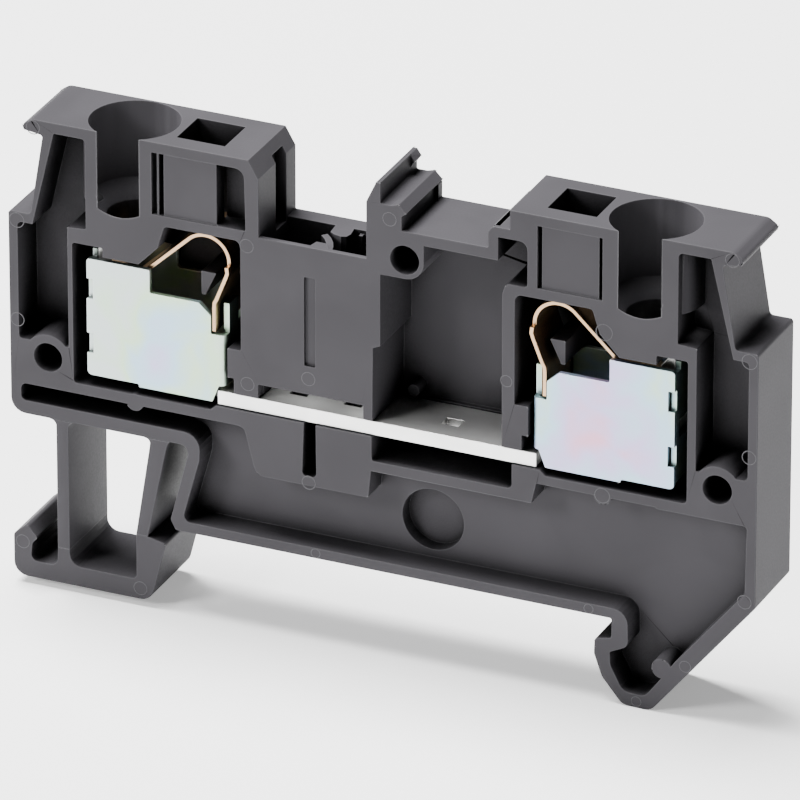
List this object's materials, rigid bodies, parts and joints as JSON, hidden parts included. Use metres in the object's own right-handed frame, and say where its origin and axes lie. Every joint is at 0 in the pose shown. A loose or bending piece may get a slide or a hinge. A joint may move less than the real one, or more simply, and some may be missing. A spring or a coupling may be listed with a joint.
{
  "type": "din rail terminal block",
  "caption": "Push-in feed-through terminal block with sprung clamps, flat current bar and a flexing foot that snaps onto a 35 mm top-hat rail.",
  "frame": {"origin": "middle of the rail seat, at half the block's thickness", "axes": "+X across the rail from the sprung foot to the fixed hook, +Y along the rail into the closed side, +Z away from the rail"},
  "size_m": [0.056, 0.0062, 0.0361],
  "materials": {
    "housing_plastic": "satin moulded polyamide, dark warm grey",
    "tinned_copper": "bright tin plating over copper",
    "plated_sheet_steel": "smooth zinc plating with a faint pastel passivation sheen",
    "spring_strip": "rolled stainless spring strip, warm straw tint"
  },
  "bodies": {
    "block": {"housing": "housing_plastic", "current_bar": "tinned_copper", "left_clamp_cage": "plated_sheet_steel", "right_clamp_cage": "plated_sheet_steel", "left_spring_anchor": "spring_strip", "left_spring_bend": "spring_strip", "right_spring_anchor": "spring_strip", "right_spring_bend": "spring_strip"},
    "foot": {"rail_foot": "housing_plastic", "foot_outer_leaf": "housing_plastic", "foot_inner_leaf": "housing_plastic"},
    "left_leg": {"left_spring_leg": "spring_strip"},
    "right_leg": {"right_spring_leg": "spring_strip"}
  },
  "joints": [
    {"name": "rail_foot_release", "type": "slide", "parent": "block", "child": "foot", "axis": [-1, 0, 0], "range_m": [0, 0.0015], "stiffness_N_per_m": 3000, "deforming": ["foot_outer_leaf", "foot_inner_leaf"]},
    {"name": "left_spring_flex", "type": "hinge", "parent": "block", "child": "left_leg", "pos_m": [-0.01335, 0, 0.02095], "axis": [0, -1, 0], "range_deg": [0, 20], "stiffness_Nm_per_rad": 0.4, "deforming": ["left_spring_bend"]},
    {"name": "right_spring_flex", "type": "hinge", "parent": "block", "child": "right_leg", "pos_m": [0.01305, 0, 0.02095], "axis": [0, 1, 0], "range_deg": [0, 20], "stiffness_Nm_per_rad": 0.4, "deforming": ["right_spring_bend"]}
  ]
}
